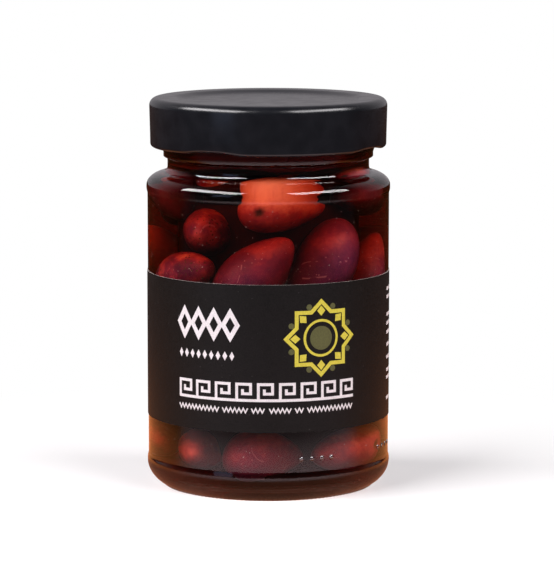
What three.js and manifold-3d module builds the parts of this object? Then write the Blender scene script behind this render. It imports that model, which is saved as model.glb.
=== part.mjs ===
import * as THREE from "three";
import { mergeVertices } from "three/addons/utils/BufferGeometryUtils.js";
import Module from "manifold-3d";

// A jar of dark olives in brine: a wide straight glass jar, a pressed metal twist-off lid,
// a paper label wrapped round the middle, and the olives that fill the glass.
// Millimetres, +Z up. The origin is the centre of the base, and the label's front faces -Y.
// An azimuth is in degrees round the axis, from the front towards +X.

const SIDES = 48; // facets round the axis

// Glass, outside
const RIDGE_RADIUS = 35.25; // the two rings on which jars touch each other
const PANEL_RADIUS = 34.95; // the straight wall between the rings, where the label sits
const FOOT_RADII = [24.2, 27.6]; // the flat ring that the jar stands on
const PUSH_UP = 2.6; // rise of the base's middle above the foot
const HEEL_RIDGE_Z = 7.1;
const SHOULDER_RIDGE_Z = 87.6;
const RIDGE_EASE = 2.4; // height over which a ring runs out into the panel
const SHOULDER_REACH = 6.33;
const SHOULDER_RISE = 3.93;
const SHOULDER_SWEEP = 75; // degrees of the shoulder's elliptical curve
const NECK_RADIUS = 29.13;
const NECK_Z = [93.1, 95.3];
const BEAD_RADIUS = 30.3;
const BEAD_Z = [96.1, 97.3];
const FINISH_RADIUS = 30.9; // under the lid's skirt
const FINISH_Z = [99.2, 109.6];
const MOUTH_Z = 112.0;

// Glass, inside
const WALL = 2.3;
const BORE_RADIUS = 26.7;
const FLOOR_EDGE_RADIUS = 24.5;
const FLOOR_EDGE_Z = 3.9;
const FLOOR_MIDDLE_Z = 5.4;
const INNER_HEEL_Z = 11.4;
const INNER_SHOULDER_Z = 84.5;

// Mould dots low on the glass, in two rows of four
const DOT_RADIUS = 0.7;
const DOT_HEIGHT = 0.3;
const DOT_Z = 13.1;
const DOT_PITCH = 5.1; // degrees
const DOTS_IN_ROW = 4;
const DOT_ROW_STARTS = [15.5, 64.6]; // azimuths

// Lid
const LID_TOP_Z = 112.92;
const LID_BOTTOM_Z = 98.7;
const LID_RADIUS = 34.33;
const LID_TAPER = 0.24; // the skirt is this much narrower at the curl
const LID_CORNER = 2.26;
const LID_SHEET = 0.4;
const LID_PANEL_DROP = 0.9; // the middle panel lies below the rim
const LID_STEP_RADII = [24.4, 27.0];
const CURL = 2.1; // width and height of the rolled lower edge
const LUG_AZIMUTHS = [-29, 61, 151, 241];
const LUG_HALF_WIDTH = 4; // degrees
const LUG_SOFTNESS = 14; // degrees over which a lug's dent fades out
const LUG_RISE = 0.75;
const LUG_PRESS = 0.25;

// Label
const LABEL_Z = [20.95, 63.0];
const LABEL_THICKNESS = 0.16;
const LABEL_GAP = 0.03; // glue line
const LABEL_OPEN_SIDES = 1; // facets left bare where the label's ends nearly meet
const LABEL_START_AZIMUTH = 187.5;

// Olives
const OLIVE_SIDES = 10;
const OLIVE_RINGS = 8;
const OLIVE_TAPER = 0.14; // the stem end is fuller than the tip
const OLIVE_TIP = 0.06; // how far the tip is drawn out, in lengths
const OLIVE_BEND = 0.05; // sideways bow of the axis, in lengths
const OLIVE_CLEARANCE = 0.4; // to the glass
const CORE_RADIUS = 19.5;
const CORE_Z = [9.5, 86];
const CORE_ROUNDING = 5;

// The olives that show from the front. radius is the distance of the middle from the jar's axis,
// tilt turns the long axis up from level along the wall, and yaw turns it out of the wall.
const FRONT_OLIVES = [
  { azimuth: 9.5, z: 84, radius: 19.6, tilt: 4, yaw: -24, length: 23, width: 14.6 },
  { azimuth: -50, z: 75.6, radius: 18.4, tilt: 10, yaw: 62, length: 24, width: 14.2 },
  { azimuth: -9, z: 63.7, radius: 23.4, tilt: 54, yaw: 4, length: 28, width: 17 },
  { azimuth: 34.6, z: 65.8, radius: 23.3, tilt: -122, yaw: 6, length: 29.5, width: 16.8 },
  { azimuth: -59, z: 62.6, radius: 24, tilt: 24, yaw: 8, length: 25, width: 14.4 },
  { azimuth: 75, z: 61.6, radius: 24.4, tilt: 74, yaw: 6, length: 26, width: 15 },
  { azimuth: -55, z: 12, radius: 20.4, tilt: 8, yaw: 52, length: 21, width: 12 },
  { azimuth: -4, z: 12.3, radius: 23, tilt: 4, yaw: -12, length: 20, width: 15.2 },
  { azimuth: 55, z: 12.6, radius: 24, tilt: 185, yaw: 2, length: 24, width: 13.4 },
  { azimuth: 54, z: 29.4, radius: 24, tilt: 10, yaw: 0, length: 26, width: 14.4 },
  { azimuth: -64, z: 28.6, radius: 24, tilt: 16, yaw: 0, length: 25, width: 14.6 },
  { azimuth: 84, z: 86.2, radius: 20.8, tilt: -22, yaw: 0, length: 21, width: 13 },
  { azimuth: -91, z: 85.6, radius: 20.6, tilt: -24, yaw: 0, length: 21, width: 13.2 },
  { azimuth: -99, z: 13, radius: 24.6, tilt: 10, yaw: 0, length: 20, width: 13.2 },
  { azimuth: 108, z: 17.5, radius: 24.6, tilt: -30, yaw: 0, length: 20, width: 13.2 },
];

// The rest lie in rows round the sides and the back, each row evenly spread between two azimuths.
const OLIVE_ROWS = [
  { z: 19, radius: 23.9, from: 160, to: 212, count: 2, tilt: 36, tiltSpread: 6 },
  { z: 40, radius: 24.2, from: 120, to: 236, count: 3, tilt: 26, tiltSpread: 8 },
  { z: 63.6, radius: 24.4, from: 122, to: 236, count: 3, tilt: 66, tiltSpread: 20 },
  { z: 84.8, radius: 20.4, from: 147, to: 207, count: 2, tilt: -36, tiltSpread: 6 },
];
const ROW_OLIVE = { length: 24, lengthSpread: 3, width: 14.6, widthSpread: 1.6, yawSpread: 14 };

const radians = THREE.MathUtils.degToRad;

// A repeatable number between 0 and 1 for the nth draw.
function draw(n) {
  const s = Math.sin(n * 12.9898 + 4.1414) * 43758.5453;
  return s - Math.floor(s);
}

// A repeatable offset of up to half the spread either way.
function vary(spread, n) {
  return spread * (draw(n) - 0.5);
}

function point(r, z) {
  return new THREE.Vector2(r, z);
}

// Points of an elliptical arc, in degrees from the level direction.
function arc(r, z, reach, rise, start, end, steps) {
  return Array.from({ length: steps + 1 }, (_, i) => {
    const angle = radians(start + ((end - start) * i) / steps);
    return point(r + reach * Math.cos(angle), z + rise * Math.sin(angle));
  });
}

function bend(a, b, c, d, steps) {
  return new THREE.CubicBezierCurve(a, b, c, d).getPoints(steps);
}

// A profile of (radius, height) turned round the jar's axis.
function turned(profile) {
  return new THREE.LatheGeometry(profile, SIDES).rotateX(Math.PI / 2);
}

const wasm = await Module();
wasm.setup();

function solidOf(geometry) {
  const bare = geometry.clone();
  bare.deleteAttribute("normal");
  bare.deleteAttribute("uv");
  const merged = mergeVertices(bare, 1e-4);
  return new wasm.Manifold(
    new wasm.Mesh({
      numProp: 3,
      vertProperties: new Float32Array(merged.attributes.position.array),
      triVerts: new Uint32Array(merged.index.array),
    }),
  );
}

function geometryOf(solid) {
  const mesh = solid.getMesh();
  const geometry = new THREE.BufferGeometry();
  geometry.setAttribute("position", new THREE.BufferAttribute(mesh.vertProperties, 3));
  geometry.setIndex(new THREE.BufferAttribute(mesh.triVerts, 1));
  geometry.computeVertexNormals();
  return geometry;
}

function glassOutside() {
  const shoulderCentre = RIDGE_RADIUS - SHOULDER_REACH;
  return [
    point(0, PUSH_UP),
    point(FOOT_RADII[0] * 0.55, PUSH_UP * 0.85),
    point(FOOT_RADII[0] - 2, PUSH_UP * 0.4),
    point(FOOT_RADII[0], 0),
    ...bend(
      point(FOOT_RADII[1], 0),
      point(FOOT_RADII[1] + 3.9, 0),
      point(RIDGE_RADIUS, HEEL_RIDGE_Z / 2),
      point(RIDGE_RADIUS, HEEL_RIDGE_Z),
      6,
    ),
    point(PANEL_RADIUS, HEEL_RIDGE_Z + RIDGE_EASE),
    point(PANEL_RADIUS, SHOULDER_RIDGE_Z - RIDGE_EASE),
    ...arc(
      shoulderCentre,
      SHOULDER_RIDGE_Z,
      SHOULDER_REACH,
      SHOULDER_RISE,
      0,
      SHOULDER_SWEEP,
      6,
    ),
    point(NECK_RADIUS + 0.3, NECK_Z[0] - 0.7),
    point(NECK_RADIUS, NECK_Z[0]),
    point(NECK_RADIUS, NECK_Z[1]),
    point(BEAD_RADIUS, BEAD_Z[0]),
    point(BEAD_RADIUS, BEAD_Z[1]),
    point(FINISH_RADIUS, FINISH_Z[0]),
    point(FINISH_RADIUS, FINISH_Z[1]),
    point(FINISH_RADIUS - 0.9, MOUTH_Z - 0.5),
    point(FINISH_RADIUS - 1.8, MOUTH_Z),
  ];
}

function glassInside() {
  const inner = PANEL_RADIUS - WALL;
  return [
    point(BORE_RADIUS + 1.1, MOUTH_Z),
    point(BORE_RADIUS, MOUTH_Z - 1.2),
    ...bend(
      point(BORE_RADIUS, NECK_Z[0]),
      point(BORE_RADIUS + 0.9, SHOULDER_RIDGE_Z + 1),
      point(inner, SHOULDER_RIDGE_Z + 0.6),
      point(inner, INNER_SHOULDER_Z),
      5,
    ),
    ...bend(
      point(inner, INNER_HEEL_Z),
      point(inner, INNER_HEEL_Z - 4),
      point(FLOOR_EDGE_RADIUS + 5.5, FLOOR_EDGE_Z),
      point(FLOOR_EDGE_RADIUS, FLOOR_EDGE_Z),
      5,
    ),
    point(0, FLOOR_MIDDLE_Z),
  ];
}

function dot(azimuth) {
  const geometry = new THREE.SphereGeometry(DOT_RADIUS, 8, 6);
  geometry.scale(1, DOT_HEIGHT / DOT_RADIUS, 1);
  geometry.translate(0, -PANEL_RADIUS, DOT_Z);
  return geometry.rotateZ(radians(azimuth));
}

function jarGlass() {
  let solid = solidOf(turned([...glassOutside(), ...glassInside()]));
  for (const start of DOT_ROW_STARTS) {
    for (let i = 0; i < DOTS_IN_ROW; i += 1) {
      solid = solid.add(solidOf(dot(start + i * DOT_PITCH)));
    }
  }
  return geometryOf(solid);
}

// How deep in a lug's dent an azimuth lies, from 0 to 1.
function lugDepth(azimuth) {
  return Math.max(
    ...LUG_AZIMUTHS.map((lug) => {
      const away = Math.abs(THREE.MathUtils.euclideanModulo(azimuth - lug + 180, 360) - 180);
      return 1 - THREE.MathUtils.smoothstep(away, LUG_HALF_WIDTH, LUG_HALF_WIDTH + LUG_SOFTNESS);
    }),
  );
}

// The rolled lower edge is pressed in and up at each lug, which holds on to the glass's thread.
function pressLugs(geometry) {
  const top = LID_BOTTOM_Z + CURL + 0.6;
  const place = geometry.attributes.position;
  for (let i = 0; i < place.count; i += 1) {
    const [x, y, z] = [place.getX(i), place.getY(i), place.getZ(i)];
    const azimuth = THREE.MathUtils.radToDeg(Math.atan2(x, -y));
    const low = THREE.MathUtils.clamp((top - z) / (top - LID_BOTTOM_Z), 0, 1);
    const depth = low * lugDepth(azimuth);
    const r = Math.hypot(x, y);
    const shrink = r > 0 ? (r - LUG_PRESS * depth) / r : 1;
    place.setXYZ(i, x * shrink, y * shrink, z + LUG_RISE * depth);
  }
  return geometry;
}

function lid() {
  const panelZ = LID_TOP_Z - LID_PANEL_DROP;
  const skirt = LID_RADIUS - LID_TAPER;
  const half = CURL / 2;
  const curlZ = LID_BOTTOM_Z + half;
  const [stepIn, stepOut] = LID_STEP_RADII;
  const profile = [
    point(0, panelZ - LID_SHEET),
    point(stepIn, panelZ - LID_SHEET),
    point(stepOut, LID_TOP_Z - LID_SHEET),
    point(LID_RADIUS - LID_CORNER, LID_TOP_Z - LID_SHEET),
    point(LID_RADIUS - LID_SHEET, LID_TOP_Z - LID_CORNER),
    point(skirt - LID_SHEET, curlZ + half),
    ...arc(skirt - half, curlZ, half, half, 110, 360, 7),
    ...arc(
      LID_RADIUS - LID_CORNER,
      LID_TOP_Z - LID_CORNER,
      LID_CORNER,
      LID_CORNER,
      0,
      90,
      5,
    ),
    point(stepOut, LID_TOP_Z),
    point(stepIn, panelZ),
    point(0, panelZ),
  ];
  return pressLugs(turned(profile));
}

function label() {
  const inner = PANEL_RADIUS + LABEL_GAP;
  const outer = inner + LABEL_THICKNESS;
  const sides = SIDES - LABEL_OPEN_SIDES;
  // A shape's angles start at +X, an azimuth at -Y.
  const start = radians(LABEL_START_AZIMUTH - 90);
  const end = start + (sides / SIDES) * 2 * Math.PI;
  const wrap = new THREE.Shape();
  wrap.absarc(0, 0, outer, start, end, false);
  wrap.absarc(0, 0, inner, end, start, true);
  const geometry = new THREE.ExtrudeGeometry(wrap, {
    depth: LABEL_Z[1] - LABEL_Z[0],
    bevelEnabled: false,
    curveSegments: sides,
  });
  return geometry.translate(0, 0, LABEL_Z[0]);
}

// One olive with its long axis along +X and its pointed tip at the +X end.
function oliveShape(length, width) {
  const profile = Array.from({ length: OLIVE_RINGS + 1 }, (_, i) => {
    const angle = (Math.PI * i) / OLIVE_RINGS;
    const along = -Math.cos(angle);
    const drawnOut = OLIVE_TIP * Math.max(0, along) ** 4;
    return point(
      (width / 2) * Math.sin(angle) * (1 - OLIVE_TAPER * along),
      length * (along / 2 + drawnOut - OLIVE_TIP / 2),
    );
  });
  profile[0].x = 0;
  profile[OLIVE_RINGS].x = 0;
  const geometry = new THREE.LatheGeometry(profile, OLIVE_SIDES).rotateZ(-Math.PI / 2);
  const place = geometry.attributes.position;
  for (let i = 0; i < place.count; i += 1) {
    const along = (2 * place.getX(i)) / length;
    place.setZ(i, place.getZ(i) - OLIVE_BEND * length * (along ** 2 - 0.4));
  }
  return geometry;
}

function laidOlive({ azimuth, z, radius, tilt, yaw, length, width }) {
  return oliveShape(length, width)
    .rotateY(-radians(tilt))
    .rotateZ(-radians(yaw))
    .translate(0, -radius, z)
    .rotateZ(radians(azimuth));
}

function rowOlives() {
  const laid = [];
  for (const row of OLIVE_ROWS) {
    for (let i = 0; i < row.count; i += 1) {
      const n = 10 * laid.length;
      laid.push({
        azimuth: row.from + ((row.to - row.from) * i) / (row.count - 1),
        z: row.z + vary(2, n),
        radius: row.radius,
        tilt: row.tilt + vary(row.tiltSpread, n + 1),
        yaw: vary(ROW_OLIVE.yawSpread, n + 2),
        length: ROW_OLIVE.length + vary(ROW_OLIVE.lengthSpread, n + 3),
        width: ROW_OLIVE.width + vary(ROW_OLIVE.widthSpread, n + 4),
      });
    }
  }
  return laid;
}

// The space inside the glass, a little smaller all round, so that no olive touches the wall.
function roomInside() {
  const wall = glassInside()
    .map(({ x, y }) => point(Math.max(0, x - OLIVE_CLEARANCE), y))
    .reverse();
  wall[0].y += OLIVE_CLEARANCE;
  wall[1].y += OLIVE_CLEARANCE;
  return solidOf(turned([...wall, point(0, MOUTH_Z)]));
}

// The heap: a smooth core with every olive that shows through the glass joined on.
function olives() {
  const core = [
    point(0, CORE_Z[0]),
    ...arc(
      CORE_RADIUS - CORE_ROUNDING,
      CORE_Z[0] + CORE_ROUNDING,
      CORE_ROUNDING,
      CORE_ROUNDING,
      -90,
      0,
      3,
    ),
    ...arc(
      CORE_RADIUS - CORE_ROUNDING,
      CORE_Z[1] - CORE_ROUNDING,
      CORE_ROUNDING,
      CORE_ROUNDING,
      0,
      90,
      3,
    ),
    point(0, CORE_Z[1]),
  ];
  let heap = solidOf(new THREE.LatheGeometry(core, SIDES / 2).rotateX(Math.PI / 2));
  for (const olive of [...FRONT_OLIVES, ...rowOlives()]) {
    heap = heap.add(solidOf(laidOlive(olive)));
  }
  return geometryOf(heap.intersect(roomInside()));
}

const materials = {
  glass: new THREE.MeshStandardMaterial({
    color: 0x6b3a2c,
    roughness: 0.04,
    metalness: 0,
    transparent: true,
    opacity: 0.35,
  }),
  lid: new THREE.MeshStandardMaterial({ color: 0x16171b, roughness: 0.32, metalness: 0.2 }),
  label: new THREE.MeshStandardMaterial({ color: 0x1b1817, roughness: 0.55, metalness: 0 }),
  olive: new THREE.MeshStandardMaterial({ color: 0x5a1a26, roughness: 0.35, metalness: 0 }),
};

function piece(name, geometry, material) {
  const mesh = new THREE.Mesh(geometry, material);
  mesh.name = name;
  return mesh;
}

const jar = new THREE.Group();
jar.add(
  piece("jar_glass", jarGlass(), materials.glass),
  piece("lid", lid(), materials.lid),
  piece("label", label(), materials.label),
  piece("olives", olives(), materials.olive),
);

export default jar;
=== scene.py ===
import math

import bmesh
import bpy
from mathutils import Matrix, Vector, noise


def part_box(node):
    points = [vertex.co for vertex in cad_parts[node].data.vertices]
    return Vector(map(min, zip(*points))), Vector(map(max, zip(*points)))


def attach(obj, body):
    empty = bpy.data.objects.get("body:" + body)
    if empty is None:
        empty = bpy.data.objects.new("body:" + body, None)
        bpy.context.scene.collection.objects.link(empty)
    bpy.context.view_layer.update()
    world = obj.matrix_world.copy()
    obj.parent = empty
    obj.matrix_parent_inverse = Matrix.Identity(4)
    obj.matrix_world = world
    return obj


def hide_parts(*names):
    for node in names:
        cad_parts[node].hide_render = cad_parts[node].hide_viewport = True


# A jar of dark olives in brine, dressed over its frame: clear glass, a lacquered lid, a printed
# paper label, the olives and the brine. Metres, +Z up, the front of the label faces -Y.
# An azimuth is in degrees round the jar's axis, from the front towards +X.
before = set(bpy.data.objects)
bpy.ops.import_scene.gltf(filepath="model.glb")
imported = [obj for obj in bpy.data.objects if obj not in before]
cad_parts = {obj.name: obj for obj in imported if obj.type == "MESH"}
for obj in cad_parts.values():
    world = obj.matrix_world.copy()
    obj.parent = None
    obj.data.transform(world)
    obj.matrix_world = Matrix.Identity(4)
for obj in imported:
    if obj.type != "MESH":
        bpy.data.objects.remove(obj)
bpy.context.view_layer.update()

MM = 0.001
AXIS = Vector((0, 0, 1))

glass_low, glass_high = (Vector(corner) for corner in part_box("jar_glass"))
lid_low, lid_high = (Vector(corner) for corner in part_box("lid"))
label_low, label_high = (Vector(corner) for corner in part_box("label"))

# Glass, outside
RIDGE_RADIUS = glass_high.x
PANEL_RADIUS = RIDGE_RADIUS - 0.3 * MM
FOOT_RADII = (24.2 * MM, 27.6 * MM)
PUSH_UP = 2.6 * MM
HEEL_RIDGE_Z = 7.1 * MM
SHOULDER_RIDGE_Z = 87.6 * MM
RIDGE_EASE = 2.4 * MM
SHOULDER_REACH = 6.33 * MM
SHOULDER_RISE = 3.93 * MM
SHOULDER_SWEEP = 75
NECK_RADIUS = 29.13 * MM
NECK_Z = (93.1 * MM, 95.3 * MM)
BEAD_RADIUS = 30.3 * MM
BEAD_Z = (96.1 * MM, 97.3 * MM)
FINISH_RADIUS = 30.9 * MM
FINISH_Z = (99.2 * MM, 109.6 * MM)
MOUTH_Z = glass_high.z
TURN_STEPS = 180  # facets round the finished glass and lid

# Glass, inside
WALL = 2.3 * MM
INNER_RADIUS = PANEL_RADIUS - WALL
BORE_RADIUS = 26.7 * MM
FLOOR_EDGE_RADIUS = 24.5 * MM
FLOOR_EDGE_Z = 3.9 * MM
FLOOR_MIDDLE_Z = 5.4 * MM
INNER_HEEL_Z = 11.4 * MM
INNER_SHOULDER_Z = 84.5 * MM

GLASS_IOR = 1.5
GLASS_TINT = (0.97, 0.98, 0.97, 1)
STIPPLE = 0.45  # roughness of the dished underside

# Mould dots
DOT_RADIUS = 0.7 * MM
DOT_HEIGHT = 0.3 * MM
DOT_Z = 13.1 * MM
DOT_PITCH = 5.1  # degrees
DOTS_IN_ROW = 4
DOT_ROW_STARTS = (15.5, 64.6)

# Knurls under the heel, at a radius and height on its curve
KNURL_PLACE = (30.4 * MM, 0.56 * MM)
KNURLS = 150
KNURL_LEAN = -23  # degrees that the curve slopes there
KNURL_WIDTH = 0.45 * MM
KNURL_LENGTH = 1.1 * MM
KNURL_HEIGHT = 0.4 * MM

# Brine
BRINE_INTO_WALL = 0.25 * MM
BRINE_TOP_Z = 104 * MM
MENISCUS = 0.8 * MM
BUBBLE_ROWS = ((62, 86, 110, 0), (9, 20, 50, 500))  # between two heights, how many, first draw
BUBBLE_RADII = (0.06, 0.17)
BUBBLE_SPREAD = 170  # degrees, about the front
BUBBLE_OFF_WALL = 0.5 * MM
# painted glint of an air bubble, the light it reflects
BUBBLE_PAINTED_GLINT_COLOUR = (0.62, 0.5, 0.5, 1)
BRINE_IOR = 1.34
BRINE_CLEARNESS = (0.77, 0.38, 0.25, 1)
BRINE_DENSITY = 260

# Lid
LID_RADIUS = lid_high.x
LID_TOP_Z = lid_high.z
LID_BOTTOM_Z = lid_low.z
LID_TAPER = 0.24 * MM
LID_CORNER = 2.26 * MM
LID_SHEET = 0.4 * MM
LID_PANEL_DROP = 0.9 * MM
LID_STEP_RADII = (24.4 * MM, 27.0 * MM)
CURL = 2.1 * MM
LUG_AZIMUTHS = (-29, 61, 151, 241)
LUG_HALF_WIDTH = 4
LUG_SOFTNESS = 14
LUG_RISE = 0.75 * MM
LUG_PRESS = 0.25 * MM
LUG_FADE = 0.6 * MM  # the press of a lug runs out at this height above the curl

# Label
LABEL_RADIUS = PANEL_RADIUS + 0.19 * MM
LABEL_THICKNESS = 0.16 * MM
LABEL_Z = (label_low.z, label_high.z)
LABEL_OPEN = 7.5  # degrees left bare at the back
LABEL_START = 187.5
LABEL_STEPS = 176

# Print on the label. Places are along it from the middle of its front, and up from the base.
PRINT_THICKNESS = 0.03 * MM
PRINT_SINK = 0.01 * MM
PRINT_STEP = 0.8  # mm between the cuts that let the print follow the curve
BORDER_START = (-27.6, 30.6)
BORDER_LINE = 0.8
BORDER_KEY = ((0, 0), (0, 4.2), (4, 4.2), (4, 1.5), (1.7, 1.5), (1.7, 2.8))
BORDER_PITCH = 6.2
BORDER_KEYS = 9
DIAMOND_START = (-25.9, 51.4)
DIAMOND_HALF = (2.1, 3.6)
DIAMOND_LINE = 1.3
DIAMOND_PITCH = 5
DIAMONDS = 4
LOZENGE_START = (-27.2, 42.6)
LOZENGE_HALF = (0.72, 1.3)
LOZENGE_PITCH = 2.1
LOZENGES = 9
ZIGZAG_Z = 27.3
ZIGZAG_HALF = (0.62, 0.62)
ZIGZAG_LINE = 0.36
ZIGZAG_RUNS = ((-28, 13.6), (-13.3, 7.4), (-4.8, 4.0), (0.3, 6.2), (7.6, 2.4), (11.2, 14.8))
STAR_POINTS = 8
STAR_CENTRE = (15.4, 47.6)
STAR_RADIUS = 10.4
STAR_LINE = 1.1
STAR_RING = (5.0, 0.7)  # radius and width of its line
STAR_RAYS = (6.3, 9.2, 1.25)  # from, to, half width
STAR_DISC = 3.4
STAR_BEADS = (9.6, 0.85)  # distance and radius
SIDE_COLUMN = (46.5, 78)
SIDE_ROWS = (58.3, 55.9, 50.8, 48.2, 45.6, 42.0, 38.3, 34.6, 32.4, 26.4)
SIDE_ROW_HEIGHT = 1.0
SIDE_DASH = (2.6, 5)
SIDE_GAP = 0.9

# Olives
OLIVE_SEGMENTS = 44
OLIVE_RINGS = 30
OLIVE_TAPER = 0.14  # of the half width, from the middle to an end
OLIVE_TIP = 0.06  # of the length
OLIVE_BEND = 0.05  # of the length
OLIVE_LUMPS = 0.22 * MM
SCAR_RADIUS = 0.2  # of the olive's half width
SCAR_DEPTH = 0.8 * MM
CORE_RADIUS = 19.5 * MM
CORE_Z = (9.5 * MM, 86 * MM)
CORE_ROUNDING = 5 * MM
CORE_STEPS = 64

# Azimuth, height, distance of the middle from the axis, tilt along the wall, yaw out of it,
# length, width, how pale and warm the skin is, and how far the scar is turned towards the glass.
FRONT_OLIVES = (
    (9.5, 84.0, 19.6, 4, -24, 23, 14.6, 0.86, 34),
    (-50, 75.6, 18.4, 10, 62, 24, 14.2, 0.38, -70),
    (-9.0, 63.7, 23.4, 54, 4, 28, 17.0, 0.1, -70),
    (34.6, 65.8, 23.3, -122, 6, 29.5, 16.8, 0.0, -70),
    (-59, 62.6, 24.0, 24, 8, 25, 14.4, 0.2, 20),
    (75, 61.6, 24.4, 74, 6, 26, 15.0, 0.14, -70),
    (-55, 12.0, 20.4, 8, 52, 21, 12.0, 0.66, -70),
    (-4, 12.3, 23.0, 4, -12, 20, 15.2, 0.31, -70),
    (55, 12.6, 24.0, 185, 2, 24, 13.4, 0.5, 52),
    (54, 29.4, 24.0, 10, 0, 26, 14.4, 0.5, 0),
    (-64, 28.6, 24.0, 16, 0, 25, 14.6, 0.5, 0),
    (84, 86.2, 20.8, -22, 0, 21, 13.0, 0.25, 0),
    (-91, 85.6, 20.6, -24, 0, 21, 13.2, 0.1, 0),
    (-99, 13, 24.6, 10, 0, 20, 13.2, 0.6, 0),
    (108, 17.5, 24.6, -30, 0, 20, 13.2, 0.75, 0),
)
FLECKED_OLIVES = (1, 4)  # which of them have dark flecks and paler patches

# Rows round the sides and the back: height, distance, first and last azimuth, count, tilt, its spread.
OLIVE_ROWS = (
    (19, 23.9, 160, 212, 2, 36, 6),
    (40, 24.2, 120, 236, 3, 26, 8),
    (63.6, 24.4, 122, 236, 3, 66, 20),
    (84.8, 20.4, 147, 207, 2, -36, 6),
)
ROW_LENGTH = (24, 3)  # length and its spread
ROW_WIDTH = (14.6, 1.6)  # width and its spread
ROW_RISE = 2  # spread of the heights
ROW_YAW = 14  # spread of the yaw
ROW_TONE = 0.6  # tone of the palest
ROW_SCAR_TURN = 160  # spread of the scars

OLIVE_PAINTED_TOP_LIGHT = (0.26, 0.36)  # painted light and shade from above: the upper side of an olive is paler and its lower side darker, of a pale one most of all
UPPER_EDGE_PAINTED_LIGHT = 1.4  # how much more painted light its upper edge gets

# Colours
LACQUER_COLOURS = ((0.0045, 0.005, 0.0068, 1), (0.0065, 0.007, 0.0095, 1))
# painted shade: the dark of the brine seen through a glass bead or an air bubble
BEAD_PAINTED_SHADE_COLOUR = (0.02, 0.006, 0.01, 1)
DUST_COLOUR = (0.05, 0.05, 0.055, 1)
INK_COLOURS = ((0.001, 0.0009, 0.0009, 1), (0.005, 0.0043, 0.0043, 1))
INK_RUBBED = (0.025, 0.023, 0.023, 1)
PAPER_EDGE_COLOURS = ((0.42, 0.38, 0.36, 1), (0.55, 0.5, 0.47, 1))
WHITE_PRINT_COLOURS = ((0.62, 0.60, 0.62, 1), (0.74, 0.72, 0.74, 1))
YELLOW_PRINT_COLOURS = ((0.50, 0.44, 0.035, 1), (0.60, 0.54, 0.06, 1))
GREEN_PRINT_COLOURS = ((0.065, 0.068, 0.018, 1), (0.09, 0.092, 0.026, 1))
SKIN_COLOURS = (
    (0.055, 0.0058, 0.025, 1),
    (0.132, 0.012, 0.031, 1),
    (0.32, 0.042, 0.042, 1),
    (0.60, 0.18, 0.09, 1),
)
SKIN_PALE = (0.45, 0.16, 0.17, 1)
SCAR_COLOUR = (0.05, 0.02, 0.015, 1)
# painted shade of the olives deep in the jar, far darker than their skin
DEEP_PAINTED_SHADE_COLOURS = ((0.004, 0.0008, 0.001, 1), (0.012, 0.002, 0.003, 1))

# Roughness, from the smoothest to the roughest parts of a surface
LACQUER_ROUGHNESS = (0.22, 0.27)
INK_ROUGHNESS = (0.46, 0.56)
PAPER_ROUGHNESS = (0.5, 0.6)
SKIN_ROUGHNESS = (0.38, 0.5)
DEEP_ROUGHNESS = 0.6
DOT_ROUGHNESS = 0.15
DOT_COAT_ROUGHNESS = 0.08

# Camera
CAMERA_DISTANCE = 943.4 * MM
CAMERA_HEIGHT = 191.5 * MM
CAMERA_PITCH = 8.06
CAMERA_LENS = 208.5
CAMERA_SHIFT = (0.0154, 0.0048)
SENSOR_WIDTH = 36
CLIP_START = 0.05

# Studio. What the glass and the lid mirror is set apart from what lights them.
# The pairs of distances are from the jar's axis, in metres.
FLOOR_REACH = 4
FLOOR_COLOUR = (0.8, 0.8, 0.8, 1)
FLOOR_ROUGHNESS = 0.9
FLOOR_FADE = (0.05, 0.17)  # from paper lit by the lamps to even white
FLOOR_WHITE = 1
FLOOR_SHADED = (0.08, 0.35)  # the jar's own shadow fades out
FLOOR_NEAR = (0.05, 0.075)  # the painted warm shadow on the mirrored floor right beside the jar ends
FLOOR_MIRRORED_ENDS = (0.12, 0.24)  # the mirrored floor grows dim
FLOOR_MIRRORED = (0.62, 0.03)  # how bright it is before and after that
# painted warm shadow on the floor beside the jar, as the glass mirrors it
FLOOR_MIRRORED_PAINTED_SHADOW = (0.42, 0.16, 0.09, 1)
FLOOR_MIRRORED_FRONT = (2.1, 1.6, 1.65, 1)
FLOOR_MIRRORED_BACK = (1.5, 0.5, 0.16, 1)
FLOOR_FRONT_TO_BACK = (-0.07, 0.0)  # along Y
# painted shadow of the jar on the floor, as seen through the glass
FLOOR_PAINTED_SHADOW_COLOUR = (0.032, 0.010, 0.006, 1)
FLOOR_AROUND_COLOUR = (0.5, 0.2, 0.08, 1)
FLOOR_ON_OLIVES = (0.8, 0.5, 0.55, 1)
FLOOR_Z = -0.1 * MM  # a hair under the jar, so that the two don't meet in one plane
ROOM_COLOUR = (0.30, 0.29, 0.30, 1)
ROOM_MIRRORED_COLOUR = (1, 0.94, 0.99, 1)
ROOM_BEHIND = (0.1, 0.8)  # how far backwards a direction points
ROOM_MIRRORED = (0.02, 0.42)
ROOM_BEHIND_GLASS = (-0.2, 0.3)
ROOM_THROUGH_GLASS = (0.04, 0.45)
ROOM_THROUGH_COLOUR = (1, 0.62, 0.48, 1)
ROOM_ON_OLIVES = (1.1, 0.95, 1.05, 1)
LAMP_DISTANCE = 1.1
LAMP_AIM = Vector((0, 0, 0.07))
# Azimuth and elevation in degrees, width and height in metres, power, colour
LAMPS = {
    "softbox_left": (-64, 41, 1.2, 0.42, 21.5, (1, 0.97, 0.98)),
    "softbox_right": (58, 41, 1.1, 0.42, 15.5, (1, 0.97, 0.98)),
    "window": (-43, 6, 0.36, 0.34, 0.3, (0.5, 0.65, 1)),
}


def draw(n):
    """A repeatable number between 0 and 1 for the nth draw."""
    s = math.sin(n * 12.9898 + 4.1414) * 43758.5453
    return s - math.floor(s)


def vary(spread, n):
    """A repeatable number within half the spread to either side of 0."""
    return spread * (draw(n) - 0.5)


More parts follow.
